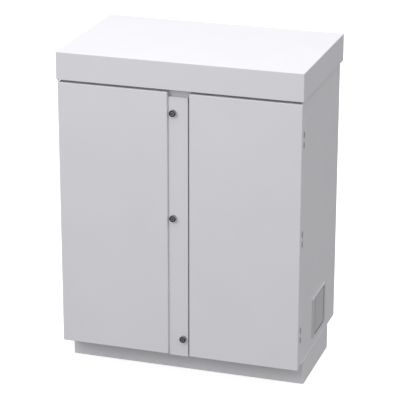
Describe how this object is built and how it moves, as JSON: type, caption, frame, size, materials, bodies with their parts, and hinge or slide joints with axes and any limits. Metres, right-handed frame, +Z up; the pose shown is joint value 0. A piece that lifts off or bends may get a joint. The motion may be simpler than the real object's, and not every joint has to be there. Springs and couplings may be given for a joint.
{
  "type": "roadside utility cabinet",
  "caption": "Free-standing sheet-metal roadside utility cabinet with twin hinged doors, a recessed lock strip, a deep roof hood, a side cable hatch and a set-back plinth.",
  "frame": {"origin": "middle of the plinth's base on the ground, at the centre of the anchor holes", "axes": "+Z up, the doors face -Y, the cable hatch is on the +X side"},
  "size_m": [1.0115, 0.623, 1.3365],
  "materials": {
    "grey_paint": "satin powder coat",
    "hatch_paint": "satin powder coat, a shade darker",
    "flap_paint": "satin powder coat, darker again",
    "galvanised_steel": "galvanised",
    "zinc_fixing": "zinc plated",
    "dark_steel": "blackened",
    "lock_core": "dull zinc",
    "grey_foam": "closed-cell foam",
    "black_rubber": "matt",
    "grey_rubber": "matt",
    "brass_bar": "drawn bar",
    "post_plastic": "moulded"
  },
  "bodies": {
    "cabinet_body": {"back_panel": "grey_paint", "back_panel_screws": "zinc_fixing", "backboard": "galvanised_steel", "backboard_screws": "zinc_fixing", "backboard_standoffs": "zinc_fixing", "cable_rail": "galvanised_steel", "earth_bar": "brass_bar", "earth_bar_posts": "post_plastic", "earth_bar_screws": "zinc_fixing", "floor_plate": "galvanised_steel", "frame_seal": "grey_foam", "gland_blanks": "black_rubber", "gland_plate": "galvanised_steel", "hatch_frame": "hatch_paint", "hatch_pin": "zinc_fixing", "hatch_seal": "grey_rubber", "header_rail": "grey_paint", "left_frame_leaf_bottom": "zinc_fixing", "left_frame_leaf_middle": "zinc_fixing", "left_frame_leaf_top": "zinc_fixing", "left_hinge_pins": "zinc_fixing", "left_side_panel": "grey_paint", "plinth_bolts": "zinc_fixing", "plinth_frame": "grey_paint", "right_frame_leaf_bottom": "zinc_fixing", "right_frame_leaf_middle": "zinc_fixing", "right_frame_leaf_top": "zinc_fixing", "right_hinge_pins": "zinc_fixing", "right_side_panel": "grey_paint", "roof_hood": "grey_paint", "roof_nuts": "zinc_fixing", "sill_rail": "grey_paint", "top_panel": "galvanised_steel"},
    "left_door_body": {"left_door": "grey_paint", "left_door_stiffener": "grey_paint", "lock_strip": "grey_paint", "lock_fixing_nuts": "zinc_fixing", "top_lock_housing": "dark_steel", "middle_lock_housing": "dark_steel", "bottom_lock_housing": "dark_steel", "left_door_leaf_top": "grey_paint", "left_door_leaf_middle": "grey_paint", "left_door_leaf_bottom": "grey_paint"},
    "right_door_body": {"right_door": "grey_paint", "right_door_stiffener": "grey_paint", "meeting_seal": "grey_foam", "door_keeper": "galvanised_steel", "right_door_leaf_top": "grey_paint", "right_door_leaf_middle": "grey_paint", "right_door_leaf_bottom": "grey_paint"},
    "flap_body": {"hatch_flap": "flap_paint"},
    "top_lock_body": {"top_lock_spindle": "lock_core", "top_lock_cam": "zinc_fixing", "top_lock_cam_nut": "zinc_fixing"},
    "middle_lock_body": {"middle_lock_spindle": "lock_core", "middle_lock_cam": "zinc_fixing", "middle_lock_cam_nut": "zinc_fixing"},
    "bottom_lock_body": {"bottom_lock_spindle": "lock_core", "bottom_lock_cam": "zinc_fixing", "bottom_lock_cam_nut": "zinc_fixing"}
  },
  "joints": [
    {"name": "left_door_hinge", "type": "hinge", "parent": "cabinet_body", "child": "left_door_body", "pos_m": [-0.4995, -0.27, 0.656], "axis": [0, 0, -1], "range_deg": [0, 110]},
    {"name": "right_door_hinge", "type": "hinge", "parent": "cabinet_body", "child": "right_door_body", "pos_m": [0.4995, -0.27, 0.656], "axis": [0, 0, 1], "range_deg": [0, 110]},
    {"name": "flap_hinge", "type": "hinge", "parent": "cabinet_body", "child": "flap_body", "pos_m": [0.5035, 0.01, 0.3215], "axis": [0, -1, 0], "range_deg": [0, 90]},
    {"name": "top_lock_turn", "type": "hinge", "parent": "left_door_body", "child": "top_lock_body", "pos_m": [-0.0225, -0.289, 1.1285], "axis": [0, 1, 0], "range_deg": [0, 90]},
    {"name": "middle_lock_turn", "type": "hinge", "parent": "left_door_body", "child": "middle_lock_body", "pos_m": [-0.0225, -0.289, 0.69254], "axis": [0, 1, 0], "range_deg": [0, 90]},
    {"name": "bottom_lock_turn", "type": "hinge", "parent": "left_door_body", "child": "bottom_lock_body", "pos_m": [0.018, -0.289, 0.176], "axis": [0, -1, 0], "range_deg": [0, 90]}
  ]
}
